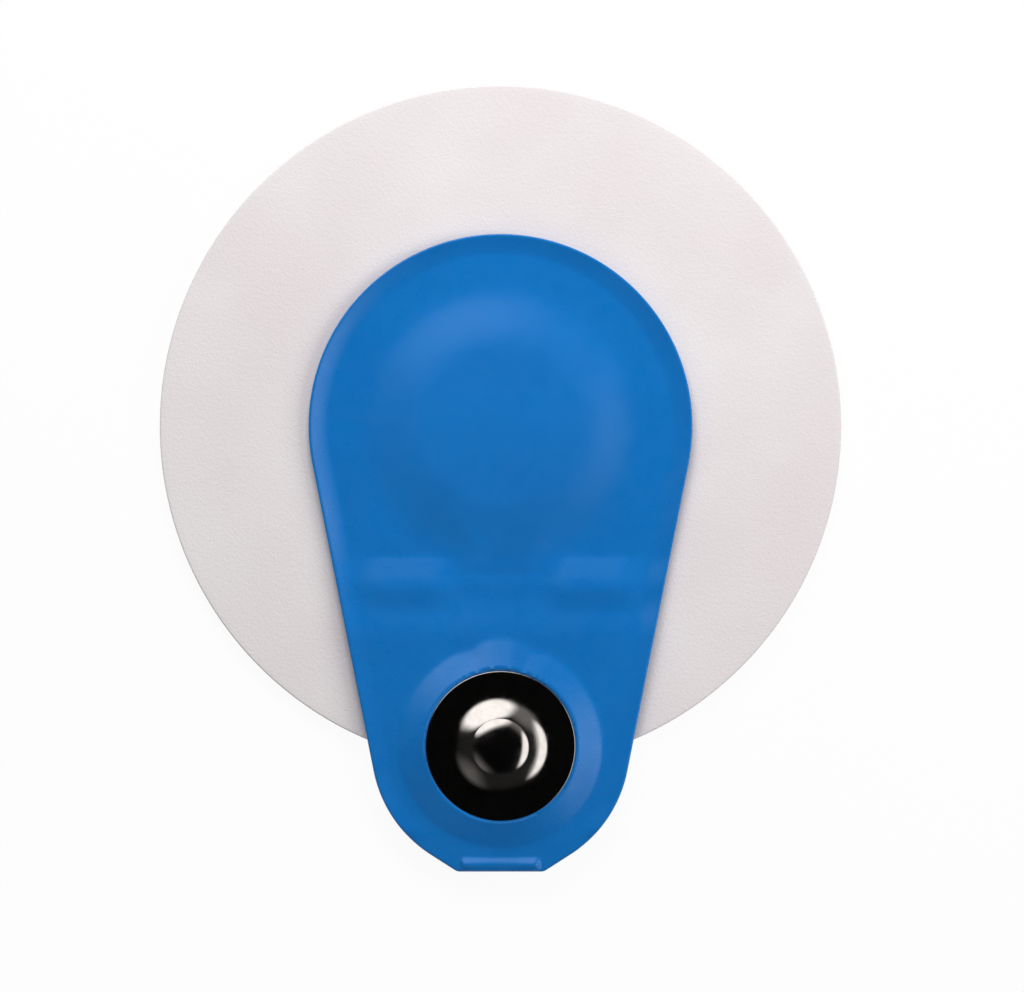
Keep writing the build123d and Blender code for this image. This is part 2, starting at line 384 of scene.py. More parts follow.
def show(name: str, data: bpy.types.ID) -> bpy.types.Object:
    """Make an object for a mesh, a camera or a lamp, and link it to the scene."""
    item = bpy.data.objects.new(name, data)
    bpy.context.scene.collection.objects.link(item)
    return item


def publish(piece: bpy.types.Object, material: Material, slot: Slot, *nodes: str) -> None:
    """Dress a piece, let it ride on the part and say which CAD nodes it stands for.

    Args:
        piece: The finished piece, with its place in its mesh.
        material: Its finish.
        slot: Name of its material slot, which goes to the log.
        *nodes: CAD nodes that it replaces.
    """
    piece.data.materials.clear()
    piece.data.materials.append(material)
    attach(piece, "root")
    if nodes:
        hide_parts(*nodes)
    LOG.info("%s: %d faces, slot %s, stands for %s", piece.name, len(piece.data.polygons), slot.value, nodes)


def arc(centre: Point, run: float, rise: float, start: float, end: float, count: int) -> list[Point]:
    """Points on an arc of an ellipse in a profile.

    Args:
        centre: Distance from the axis and level of its centre.
        run: Half-axis across.
        rise: Half-axis upright.
        start: First angle in degrees, from the outward direction.
        end: Last angle in degrees.
        count: Number of points.

    Returns:
        The points in order.
    """
    turns = np.radians(np.linspace(start, end, count))
    return [(centre[0] + run * math.cos(t), centre[1] + rise * math.sin(t)) for t in turns]


def run_of(first: Point, last: Point, step: float) -> list[Point]:
    """Evenly spaced points from one point up to, but without, another."""
    count = max(1, round(math.dist(first, last) / step))
    return [tuple(np.array(first) + (np.array(last) - np.array(first)) * k / count) for k in range(count)]


class SpinTree(NodeBook):
    """Geometry Nodes tree that turns a profile about an upright axis."""

    def __init__(self) -> None:
        """Build the tree."""
        super().__init__(bpy.data.node_groups.new("spin_profile", "GeometryNodeTree"))
        face = self.tree.interface
        face.new_socket("Geometry", in_out="INPUT", socket_type="NodeSocketGeometry")
        self.sockets = {
            "segments": face.new_socket("Segments", in_out="INPUT", socket_type="NodeSocketInt"),
            "place": face.new_socket("Axis Place", in_out="INPUT", socket_type="NodeSocketVector"),
            "material": face.new_socket("Material", in_out="INPUT", socket_type="NodeSocketMaterial"),
        }
        face.new_socket("Geometry", in_out="OUTPUT", socket_type="NodeSocketGeometry")
        inputs = self.add("NodeGroupInput")
        realize = self.add("GeometryNodeRealizeInstances", {"Geometry": self.place_points(inputs)})
        dressed = {"Geometry": realize.outputs[0], "Material": inputs.outputs["Material"]}
        self.add("NodeGroupOutput", {0: self.add("GeometryNodeSetMaterial", dressed).outputs[0]})

    def place_points(self, inputs: bpy.types.Node) -> Socket:
        """Put every point of a grid on the profile, turned by its row's share of a full turn.

        Args:
            inputs: Input node of the tree, with the profile, the segments and the axis.

        Returns:
            The turned body, with its doubled points merged.
        """
        profile, segments = inputs.outputs["Geometry"], inputs.outputs["Segments"]
        count = self.add("GeometryNodeAttributeDomainSize", {0: profile}, component="MESH")
        rows = count.outputs["Point Count"]
        columns = self.math("ADD", segments, 1.0)
        grid = self.add("GeometryNodeMeshGrid", {"Vertices X": columns, "Vertices Y": rows})
        index = self.add("GeometryNodeInputIndex").outputs[0]
        turn = self.math("FLOOR", self.math("DIVIDE", self.math("ADD", index, 0.5), rows))
        on_profile = self.math("SUBTRACT", index, self.math("MULTIPLY", turn, rows))
        position = self.add("GeometryNodeInputPosition").outputs[0]
        wanted = {"Geometry": profile, "Value": position, "Index": on_profile}
        sample = self.add("GeometryNodeSampleIndex", wanted, data_type="FLOAT_VECTOR", domain="POINT")
        angle = self.math("DIVIDE", self.math("MULTIPLY", turn, math.tau), segments)
        swing = {"Vector": sample.outputs[0], "Angle": angle}
        swung = self.add("ShaderNodeVectorRotate", swing, rotation_type="Z_AXIS").outputs[0]
        places = {0: swung, 1: inputs.outputs["Axis Place"]}
        place = self.add("ShaderNodeVectorMath", places, operation="ADD").outputs[0]
        moved = {"Geometry": grid.outputs["Mesh"], "Position": place}
        shape = self.add("GeometryNodeSetPosition", moved)
        doubles = {"Geometry": shape.outputs[0], "Distance": MERGE_METRES}
        return self.add("GeometryNodeMergeByDistance", doubles).outputs[0]

    def turn(
        self,
        name: str,
        profile: list[Point],
        centre_y: float,
        segments: int,
        material: Material,
        sharp_degrees: float = 40.0,
    ) -> bpy.types.Object:
        """Turn a profile into a piece.

        Args:
            name: Name of the piece.
            profile: Distances from the axis and levels, in millimetres, in order round the section.
            centre_y: Place of the axis along Y, in millimetres.
            segments: Steps in a full turn.
            material: Finish of the piece.
            sharp_degrees: Edges that turn more than this stay sharp.

        Returns:
            The piece as a plain mesh.
        """
        outline = bpy.data.meshes.new(name)
        points = [(r * MM, 0.0, z * MM) for r, z in profile]
        outline.from_pydata(points, [(k, k + 1) for k in range(len(points) - 1)], [])
        piece = show(name, outline)
        modifier = piece.modifiers.new("spin", "NODES")
        modifier.node_group = self.tree
        modifier[self.sockets["segments"].identifier] = segments
        modifier[self.sockets["place"].identifier] = (0.0, centre_y * MM, 0.0)
        modifier[self.sockets["material"].identifier] = material
        ready = piece.evaluated_get(bpy.context.evaluated_depsgraph_get())
        baked = bpy.data.meshes.new_from_object(ready)
        piece.modifiers.remove(modifier)
        piece.data = baked
        baked.name = name
        finish_mesh(baked, sharp_degrees)
        return piece


def soft_max(a: np.ndarray, b: np.ndarray | float, blend: float) -> np.ndarray:
    """Greater of two heights, with the crease between them rounded over a blend height."""
    share = np.maximum(blend - np.abs(a - b), 0.0) / blend
    return np.maximum(a, b) + share * share * blend / 4


def soft_min(a: np.ndarray, b: np.ndarray | float, blend: float) -> np.ndarray:
    """Lesser of two heights, with the edge between them rounded over a blend height."""
    return -soft_max(-a, -b, blend)


def ease(value: np.ndarray, low: float, high: float) -> np.ndarray:
    """Smooth step from 0 at low to 1 at high."""
    share = np.clip((value - low) / (high - low), 0.0, 1.0)
    return share * share * (3 - 2 * share)


def about(radius: np.ndarray | float, angle: np.ndarray | float) -> np.ndarray:
    """Plan points at a radius and an angle from the origin."""
    return np.stack([radius * np.cos(angle), radius * np.sin(angle)], axis=-1)


def bands(first: np.ndarray, second: np.ndarray) -> np.ndarray:
    """Four-sided faces between two closed rows of point numbers, or between many such rows."""
    corners = [first, np.roll(first, -1, axis=0), np.roll(second, -1, axis=0), second]
    return np.stack(corners, axis=-1).reshape(-1, 4)


# The label


@dataclass(frozen=True)
class Teardrop:
    """Outline of the label: an arc about the pad, straight sides and a tab cut off square.

    Its stations run along the outline, and each faces a point on the spine or round the snap's hole.
    """

    head_radius: float = 13.5
    tab_radius: float = 9.1
    hole_radius: float = 1.6
    cut_reach: float = 8.85
    cut_half_width: float = 3.05
    cut_blend: float = 0.12
    slant_angle: float = -57.4
    head_stations: int = 112
    side_stations: int = 123
    tab_stations: int = 83
    corner_turn: float = 0.01

    @property
    def lean(self) -> float:
        """Angle by which the straight sides close towards the tab."""
        return math.asin((self.head_radius - self.tab_radius) / SNAP_OFFSET)

    def from_edge(self, x: np.ndarray, y: np.ndarray) -> np.ndarray:
        """Distance inwards from the outline, as if the tab's end were round."""
        across, along = np.abs(x), -y
        sine, cosine = math.sin(self.lean), math.cos(self.lean)
        side = across * cosine + along * sine - self.head_radius
        turned = along * cosine - across * sine
        head = np.hypot(across, along) - self.head_radius
        tab = np.hypot(across, along - SNAP_OFFSET) - self.tab_radius
        return -np.where(turned < 0, head, np.where(turned > cosine * SNAP_OFFSET, tab, side))

    def tab_end(self) -> tuple[np.ndarray, np.ndarray]:
        """Angles of the tab's stations, and the outline's distance there from the snap's axis."""
        corner = math.atan2(-self.cut_reach, self.cut_half_width)
        turns = np.linspace(-self.lean, -math.pi / 2, self.tab_stations + 1)[1:]
        at_corner = [corner - self.corner_turn, corner, corner + self.corner_turn]
        turns = np.sort(np.append(turns, at_corner))[::-1]
        slant = self.tab_radius / np.cos(np.minimum(turns - math.radians(self.slant_angle), 0.0))
        cut = self.cut_reach / np.maximum(-np.sin(turns), 1e-9)
        return turns, soft_min(slant, cut, self.cut_blend)

    def half(self) -> tuple[np.ndarray, np.ndarray]:
        """Stations from the top of the head down the right side to the middle of the cut end.

        Returns:
            Points on the outline, and the points on the spine or round the hole that they face.
        """
        centre = np.array([0.0, -SNAP_OFFSET])
        head = np.linspace(math.pi / 2, -self.lean, self.head_stations)
        shares = np.linspace(0.0, 1.0, self.side_stations + 1)[1:]
        tab, reach = self.tab_end()
        side_start = about(self.head_radius, -self.lean)
        side_end = centre + about(self.tab_radius, -self.lean)
        outer = np.concatenate([
            about(self.head_radius, head),
            side_start + (side_end - side_start) * shares[:, None],
            centre + about(reach, tab),
        ])
        spine = SNAP_OFFSET - self.hole_radius
        travel = shares * (spine + self.hole_radius * (math.pi / 2 + self.lean))
        turn = math.pi / 2 - np.maximum(travel - spine, 0.0) / self.hole_radius
        on_spine = np.stack([np.zeros_like(travel), -travel], axis=1)
        inner = np.concatenate([
            np.zeros((len(head), 2)),
            np.where((travel < spine)[:, None], on_spine, centre + about(self.hole_radius, turn)),
            centre + about(self.hole_radius, tab),
        ])
        return outer, inner

    def stations(self) -> tuple[np.ndarray, np.ndarray]:
        """Stations all the way round, from the half on the right and its mirror image."""
        outer, inner = self.half()
        outer[-1, 0] = inner[-1, 0] = 0.0
        mirror = np.array([-1.0, 1.0])
        outer, inner = (np.concatenate([side, side[-2:0:-1] * mirror]) for side in (outer, inner))
        return outer, inner


@dataclass(frozen=True)
class TabLabel:
    """Embossed blue film, whose two faces come from one height function.

    X is the distance across the tab and -Y the distance along it from the pad's centre. A pair of the
    tent holds the distance along and the height or the width there.
    """

    outline: Teardrop = Teardrop()
    thickness: float = 0.4
    crease: float = 0.12
    fine_crease: float = 0.06

    # Curled margin: width and rise beside the dome and beside the tab
    head_margin: Point = (1.45, 0.42)
    tab_margin: Point = (1.2, 0.16)
    margin_change: Point = (6.75, 15.5)
    margin_power: float = 1.3
    margin_end: Point = (28.2, 29.2)

    # Dome over the gel
    dome_radius: float = 10.5
    crown_height: float = 0.32
    shoulder_start: float = 5.2
    shoulder_height: float = 0.66

    # Tent between the dome and the channel over the strip
    tent_start: float = 3.0
    tent_full: float = 5.0
    tent_end: float = 10.4
    tent_tops: tuple[Point, ...] = ((3.0, 0.68), (6.6, 0.58), (8.4, 0.38), (9.8, 0.20))
    tent_half_widths: tuple[Point, ...] = ((1.5, 7.9), (5.1, 5.4), (8.3, 3.3))
    tent_side: float = 2.3
    tent_foot: float = 10.2
    tent_foot_spread: float = 0.4

    # Channel over the strip, and the room that the strip needs under the film
    channel_start: float = 9.6
    channel_side: float = 2.4
    strip_half_width: float = 1.7
    strip_bulge: float = 0.10
    strip_clear: float = 0.33
    strip_play: float = 0.6
    strip_start: float = 8.0
    strip_ramp: Point = (12.2, 14.6)

    # Hinge: a step, a bead on each side of the strip and a ramp up to the free tab
    free_rise: float = 0.4
    step_height: float = 0.15
    ramp_start: float = 11.8
    ramp_end: float = 15.0
    bead_from_centre: float = 11.35
    bead_rise_run: float = 2.4
    bead_fall_run: float = 1.9
    bead_blend: float = 0.3
    bead_inner: float = 2.4
    bead_outer: float = 10.6
    bead_fade: float = 2.6
    bead_height: float = 0.23

    # Cone round the snap, with its bump over the strip and the recess of the stud's flange
    ring_crest: float = 5.3
    ring_foot: float = 7.45
    ring_height: float = 0.67
    bump_foot: float = 8.15
    bump_slope: float = 0.25
    bump_half_width: float = 2.2
    bump_power: int = 4
    recess_radius: float = 5.12
    recess_level: float = 0.23
    recess_slope: float = 1.5
    eye_radius: float = 6.6
    eye_level: float = 1.72

    # Grip lip across the tab's end
    lip_half_length: float = 2.9
    lip_full: float = 0.84
    lip_middle: float = 30.85
    lip_half_width: float = 0.62
    lip_height: float = 0.2
    lip_middle_share: float = 0.75
    lip_flare: float = 0.5

    # Rows of the mesh: shares of the edge's round, a fine band beside it and even rows inwards
    edge_round: float = 0.16
    edge_shares: tuple[float, ...] = (0.0, 0.1, 0.3, 0.6, 1.0)
    edge_band: float = 1.4
    edge_rows: int = 12
    top_rows: int = 66
    under_offsets: tuple[float, ...] = (0.0, 0.3, 0.8, 1.4)
    under_rows: int = 26
    sharp_degrees: float = 50.0

    def dome(self, x: np.ndarray, y: np.ndarray) -> np.ndarray:
        """Rise of the dome over the gel: a gentle crown on a wide soft shoulder."""
        reach = np.hypot(x, y)
        crown = np.maximum(1 - (reach / self.dome_radius) ** 2, 0.0) ** 2
        shoulder = 1 - ease(reach, self.shoulder_start, self.dome_radius)
        return self.crown_height * crown + self.shoulder_height * shoulder

    def tent(self, x: np.ndarray, y: np.ndarray) -> np.ndarray:
        """Rise of the film stretched from the dome's shoulder down to the strip."""
        along = -y
        half_side = self.channel_side / 2
        tops = (*self.tent_tops, (self.tent_end, self.strip_bulge))
        half_widths = (*self.tent_half_widths, (self.tent_foot, self.strip_half_width + half_side))
        sides = ((self.tent_start, self.tent_side), (self.tent_foot, half_side + self.tent_foot_spread))
        top, half, side = (np.interp(along, *zip(*pairs)) for pairs in (tops, half_widths, sides))
        rise = top * (1 - ease(np.abs(x), half - side, half + side))
        return rise * ease(along, self.tent_start, self.tent_full) * (along < self.tent_end)

    def channel(self, x: np.ndarray, y: np.ndarray) -> np.ndarray:
        """Rise over the strip between the dome and the ring."""
        across = 1 - ease(np.abs(x), self.strip_half_width, self.strip_half_width + self.channel_side)
        between = (-y > self.channel_start) & (-y < SNAP_OFFSET)
        return np.where(between, self.strip_bulge * across, 0.0)

    def bead(self, x: np.ndarray, y: np.ndarray) -> np.ndarray:
        """Rise of the hinge's edge over the free tab, which fades beside the strip."""
        off = -y - self.bead_from_centre
        run = self.bead_rise_run
        up = soft_min(1 + off / run, 1.0, self.bead_blend) * ease(off, -run, run / 4 - run)
        down = 1 - ease(off, 0.0, self.bead_fall_run)
        across = np.abs(x)
        fade_in = ease(across, self.bead_inner, self.bead_inner + self.bead_fade)
        fade_out = 1 - ease(across, self.bead_outer - self.bead_fade, self.bead_outer)
        return self.bead_height * up * down * fade_in * fade_out

    def ring(self, x: np.ndarray, y: np.ndarray) -> np.ndarray:
        """Rise of the cone round the snap, longer over the strip, with the recess of the stud's flange."""
        reach = np.hypot(x, y + SNAP_OFFSET)
        cone = (self.ring_foot - reach) * self.ring_height / (self.ring_foot - self.ring_crest)
        bump = np.maximum(self.bump_foot - reach, 0.0) * self.bump_slope
        bump = bump * np.exp(-((x / self.bump_half_width) ** self.bump_power)) * (y > -SNAP_OFFSET)
        top = soft_max(cone, bump, self.crease) - self.crease / 4
        wall = self.recess_level + np.maximum(reach - self.recess_radius, 0.0) * self.recess_slope
        return soft_min(top, wall, self.crease)

    def lip(self, x: np.ndarray, y: np.ndarray) -> np.ndarray:
        """Rise of the grip lip across the tab's square end."""
        share = np.abs(x) / self.lip_half_length
        across = 1 - ease(share, self.lip_full, 1.0)
        along = 1 - ease(np.abs(-y - self.lip_middle), 0.0, self.lip_half_width)
        return self.lip_height * (self.lip_middle_share + self.lip_flare * share**2) * across * along

    def ramp(self, y: np.ndarray) -> np.ndarray:
        """Rise of the free tab over the pad, in a step at the hinge and a ramp."""
        step = ease(-y, self.bead_from_centre - self.bead_rise_run, self.bead_from_centre)
        rest = self.free_rise - self.step_height
        return self.step_height * step + rest * ease(-y, self.ramp_start, self.ramp_end)

    def margin(self, x: np.ndarray, y: np.ndarray) -> np.ndarray:
        """Rise of the film's edge, which curls up from the foam."""
        pairs = zip(self.head_margin, self.tab_margin)
        width, rise = (np.interp(-y, self.margin_change, pair) for pair in pairs)
        share = np.clip(1 - self.outline.from_edge(x, y) / width, 0.0, 1.0)
        return rise * share**self.margin_power * (1 - ease(-y, *self.margin_end))

    def body(self, x: np.ndarray, y: np.ndarray) -> np.ndarray:
        """Level of the film's upper face without its margin and lip."""
        rise = soft_max(self.dome(x, y), self.tent(x, y), self.crease)
        rise = np.maximum(rise, self.channel(x, y))
        rise = soft_max(rise, self.ring(x, y), self.fine_crease)
        rise = rise + self.bead(x, y) - self.fine_crease / 4
        return PAD_TOP + self.thickness + self.ramp(y) + rise

    def upper(self, x: np.ndarray, y: np.ndarray) -> np.ndarray:
        """Level of the upper face."""
        return self.body(x, y) + self.margin(x, y) + self.lip(x, y)

    def under(self, x: np.ndarray, y: np.ndarray) -> np.ndarray:
        """Level of the underside, kept above the foam, the strip and its eye under the snap."""
        level = np.maximum(self.body(x, y) + self.margin(x, y) - self.thickness, PAD_TOP)
        near_strip = np.abs(x) < self.strip_half_width + self.strip_play
        over_strip = near_strip & (-y > self.strip_start) & (-y < SNAP_OFFSET)
        strip = PAD_TOP + self.strip_clear + np.interp(-y, self.strip_ramp, [0.0, self.free_rise])
        level = np.where(over_strip, np.maximum(level, strip), level)
        over_eye = np.hypot(x, y + SNAP_OFFSET) < self.eye_radius
        return np.where(over_eye, np.maximum(level, self.eye_level), level)

    def sheet(self, outer: np.ndarray, inner: np.ndarray, offsets: np.ndarray, rows: int) -> np.ndarray:
        """Plan points by station and row, first at fixed offsets and then evenly.

        Args:
            outer: Stations on the outline.
            inner: Points that they face.
            offsets: Distances from the outline of the first rows.
            rows: Number of even rows from there to the points faced.

        Returns:
            The points, by station, row and axis.
        """
        length = np.linalg.norm(inner - outer, axis=1)
        near = offsets[None, :] / length[:, None]
        even = np.linspace(0.0, 1.0, rows + 1)[1:]
        far = near[:, -1:] + (1 - near[:, -1:]) * even[None, :]
        shares = np.concatenate([near, far], axis=1)
        return outer[:, None, :] + (inner - outer)[:, None, :] * shares[:, :, None]

    def build(self, material: Material) -> None:
        """Build the film as one closed shell and dress it."""
        outer, inner = self.outline.stations()
        edge = self.edge_round * np.array(self.edge_shares)
        band = np.linspace(self.edge_round, self.edge_band, self.edge_rows + 1)[1:]
        offsets = np.concatenate([edge, band])
        top = self.sheet(outer, inner, offsets, self.top_rows)
        low = self.sheet(outer, inner, np.array(self.under_offsets), self.under_rows)
        left = np.maximum(self.edge_round - offsets, 0.0)
        drop = np.zeros(top.shape[1])
        drop[: len(offsets)] = self.edge_round - np.sqrt(self.edge_round**2 - left**2)
        top_z = self.upper(top[..., 0], top[..., 1]) - drop[None, :]
        low_z = self.under(low[..., 0], low[..., 1])
        grids = (np.dstack([top, top_z]), np.dstack([low, low_z]))
        points = np.concatenate([grid.reshape(-1, 3) for grid in grids])
        top_index = np.arange(top_z.size).reshape(top_z.shape)
        low_index = np.arange(low_z.size).reshape(low_z.shape) + top_z.size
        on_spine = (np.abs(inner[:, 0]) < 1e-9) & (inner[:, 1] > -SNAP_OFFSET)
        round_hole = ~(on_spine & np.roll(on_spine, -1))
        faces = np.concatenate([
            bands(top_index[:, :-1], top_index[:, 1:]),
            bands(low_index[:, :-1], low_index[:, 1:]),
            bands(top_index[:, 0], low_index[:, 0]),
            bands(top_index[:, -1], low_index[:, -1])[round_hole],
        ])
        mesh = bpy.data.meshes.new("label_film")
        mesh.from_pydata((points * MM).tolist(), [], faces.tolist())
        finish_mesh(mesh, self.sharp_degrees)
        publish(show("label_film", mesh), material, Slot.LABEL, "tab_label")


# Pad, gel and snap


@dataclass(frozen=True)
class FoamPad:
    """Round foam pad with a die-cut edge, a hole for the gel and a faintly wavy top.

    Each wave has its turns per millimetre along X and Y and its phase, in radians.
    """

    radius: float = 24.0
    hole_radius: float = 8.4
    top_round: float = 0.12
    bottom_round: float = 0.08
    bottom_margin: float = 0.2
    top_step: float = 0.45
    bottom_step: float = 1.5
    segments: int = 300
    wave_height: float = 0.035
    wave_drop: float = 0.6
    waves: tuple = ((0.61, 0.35, 1.3), (-0.42, 0.71, 0.0), (0.93, -0.22, 4.0))
    wave_margin: Point = (0.4, 2.5)
    wave_levels: Point = (0.3, 0.95)

    def profile(self) -> list[Point]:
        """Section of the pad, from the hole's upper edge round the outside and back."""
        top, low = self.top_round, self.bottom_round
        hole_top, hole_foot = (self.hole_radius, PAD_TOP), (self.hole_radius, 0.0)
        profile = run_of(hole_top, (self.radius - top, PAD_TOP), self.top_step)
        profile += arc((self.radius - top, PAD_TOP - top), top, top, 90, 0, 8)
        profile += arc((self.radius - low, low), low, low, 0, -90, 4)
        profile += run_of((self.radius - low - self.bottom_margin, 0.0), hole_foot, self.bottom_step)
        return profile + [hole_foot, hole_top]

    def ripple(self, mesh: bpy.types.Mesh, outline: Teardrop) -> None:
        """Let the top swell faintly outside the label.

        Args:
            mesh: Mesh of the pad.
            outline: The label's outline, inside which the foam stays flat.
        """
        flat = np.empty(len(mesh.vertices) * 3)
        mesh.vertices.foreach_get("co", flat)
        place = flat.reshape(-1, 3)
        x, y, z = (place / MM).T
        away = ease(-outline.from_edge(x, y), *self.wave_margin) * ease(z, *self.wave_levels)
        swell = sum(np.sin(a * x + b * y + phase) for a, b, phase in self.waves)
        place[:, 2] += self.wave_height * MM * away * (swell / len(self.waves) - self.wave_drop)
        mesh.vertices.foreach_set("co", place.ravel())
        mesh.update()

    def build(self, spin: SpinTree, outline: Teardrop, material: Material) -> None:
        """Turn the pad and dress it."""
        piece = spin.turn("foam_pad", self.profile(), 0.0, self.segments, material)
        self.ripple(piece.data, outline)
        publish(piece, material, Slot.FOAM, "foam_disc")


@dataclass(frozen=True)
class GelSponge:
    """Gel-soaked sponge that fills the pad's hole."""

    radius: float = 8.2
    rim_level: float = 1.05
    top_radius: float = 5.5
    top_level: float = 1.3
    edge: float = 0.15
    first_ring: float = 1.0
    top_step: float = 0.9
    bottom_margin: float = 0.3
    last_ring: float = 0.4
    bottom_step: float = 0.7
    segments: int = 120

    def build(self, spin: SpinTree, material: Material) -> None:
        """Turn the sponge and dress it."""
        edge = self.edge
        shoulder, rim = (self.top_radius, self.top_level), (self.radius, self.rim_level)
        profile = [(0.0, self.top_level)]
        profile += run_of((self.first_ring, self.top_level), shoulder, self.top_step)
        profile += run_of(shoulder, rim, self.top_step) + [rim]
        profile += arc((self.radius - edge, edge), edge, edge, 0, -90, 6)
        start = (self.radius - edge - self.bottom_margin, 0.0)
        profile += run_of(start, (self.last_ring, 0.0), self.bottom_step) + [(0.0, 0.0)]
        piece = spin.turn("sponge", profile, 0.0, self.segments, material)
        publish(piece, material, Slot.GEL, "gel_sponge")


@dataclass(frozen=True)
class Stud:
    """Stud of the snap, pressed from sheet: flange, hub, neck and head."""

    seat: float = 2.03
    sheet: float = 0.25
    flange_radius: float = 5.3
    flange_step: float = 0.4
    rim_round: float = 0.1
    rim_foot_round: float = 0.06
    hub_foot: float = 3.3
    hub_rise: float = 1.1
    hub_bend: float = 0.70
    foot_round: float = 0.5
    neck_radius: float = 1.75
    neck_height: float = 0.3
    head_radius: float = 2.0
    land_foot: float = 3.83
    land_draft: float = 0.02
    land_height: float = 0.2
    throat_inset: float = 0.16
    throat_rise: float = 0.1
    throat_round: float = 0.12
    head_top: float = 5.275
    crown_rise: float = 0.8
    crown_reach: float = 2.3
    crown_power: float = 2.5
    hollow_hub: tuple[Point, ...] = ((3.27, 2.03), (2.2, 2.6), (1.62, 3.15))
    hollow_drop: float = 0.1
    hollow_crown: Point = (1.1, 0.38)
    segments: int = 160
    sharp_degrees: float = 30.0

    def hub(self, top: float) -> list[Point]:
        """Outer side of the hub, from the neck down to the flange's upper face, with a rounded foot."""
        run = self.hub_foot - self.neck_radius
        shares = np.linspace(1.0, 0.0, 26)
        foot = np.linspace(self.hub_foot, self.hub_foot + self.foot_round, 8)[1:-1]
        radii = np.append(self.neck_radius + run * (1 - shares) ** 2, foot)
        levels = self.hub_bend * 2 * shares * (1 - shares) + self.hub_rise * shares**2
        levels = np.append(levels, np.zeros_like(foot))
        slope = self.hub_bend / run
        line = (self.hub_foot - radii) * slope
        eased = soft_max(line, 0.0, self.foot_round * slope) - np.maximum(line, 0.0)
        return list(zip(radii, top + levels + eased))

    def crown(self) -> list[Point]:
        """Flattened crown of the head, from its middle to its sharp edge."""
        radii = self.head_radius * np.sin(np.linspace(0.0, math.pi / 2, 40))
        share = (radii / self.crown_reach) ** self.crown_power
        levels = self.head_top - self.crown_rise * (1 - (1 - share) ** (1 / self.crown_power))
        return list(zip(radii, levels))

    def rim(self, top: float) -> list[Point]:
        """Rounded rim of the flange, from its upper face to its seat."""
        r, foot = self.rim_round, self.rim_foot_round
        upper = arc((self.flange_radius - r, top - r), r, r, 90, 0, 7)
        return upper + arc((self.flange_radius - foot, self.seat + foot), foot, foot, 0, -90, 4)

    def hollow(self, land_top: float) -> list[Point]:
        """Inner side of the sheet, from the flange up to the middle of the head."""
        inside = self.head_radius - self.sheet
        reach, drop = self.hollow_crown
        return [
            *self.hollow_hub,
            (self.neck_radius - self.sheet, self.land_foot - self.neck_height),
            (inside, self.land_foot),
            (inside, land_top - self.hollow_drop),
            (reach, self.head_top - drop),
            (0.0, self.head_top - self.sheet),
        ]

    def build(self, spin: SpinTree, material: Material) -> None:
        """Turn the stud and dress it."""
        top = self.seat + self.sheet
        profile = self.crown()
        land_top = profile[-1][1]
        throat = (self.head_radius - self.throat_inset, self.land_foot + self.throat_rise)
        profile += [(self.head_radius - self.land_draft, land_top - self.land_height)]
        profile += arc(throat, self.throat_round, self.throat_round, 0, -55, 5)
        profile += self.hub(top)
        flat = (self.hub_foot + self.foot_round, top)
        profile += run_of(flat, (self.flange_radius - self.rim_round, top), self.flange_step)
        profile += self.rim(top) + self.hollow(land_top)
        piece = spin.turn("stud", profile, -SNAP_OFFSET, self.segments, material, self.sharp_degrees)
        publish(piece, material, Slot.STUD, "snap_stud")


@dataclass(frozen=True)
class Patch:
    """Insulating patch under the snap, dished where the eyelet's flange lies on it.

    Levels are those of its underside. A round is the run and the rise by which a corner is cut.
    """

    radius: float = 7.2
    thickness: float = 0.15
    dish_radius: float = 4.3
    dish_level: float = 1.0
    step_radius: float = 5.1
    step_level: float = 1.25
    corner: Point = (0.15, 0.015)
    slope_inset: Point = (0.1, 0.04)
    rim_round: Point = (0.06, 0.04)
    step: float = 0.12
    segments: int = 128

    def build(self, spin: SpinTree, material: Material) -> None:
        """Turn the patch and dress it."""
        dish, step = self.dish_radius, self.step_radius
        low, high = self.dish_level, self.step_level
        dish_top, step_top = low + self.thickness, high + self.thickness
        (out, up), (inset, climb), (run, rise) = self.corner, self.slope_inset, self.rim_round
        profile = [(0.0, dish_top), (dish - out, dish_top), (dish, dish_top + up)]
        profile += run_of((dish + inset, dish_top + climb), (step, step_top - up), self.step)
        profile += [(step + out, step_top), (self.radius - run, step_top), (self.radius, step_top - rise)]
        profile += [(self.radius, high + rise), (self.radius - run, high), (step + out, high)]
        profile += [(step, high - up)] + run_of((step - inset, high - climb), (dish, low + up), self.step)
        profile += [(dish - inset, low), (0.0, low)]
        piece = spin.turn("patch", profile, -SNAP_OFFSET, self.segments, material)
        publish(piece, material, Slot.PATCH, "backing_patch")


# Studio


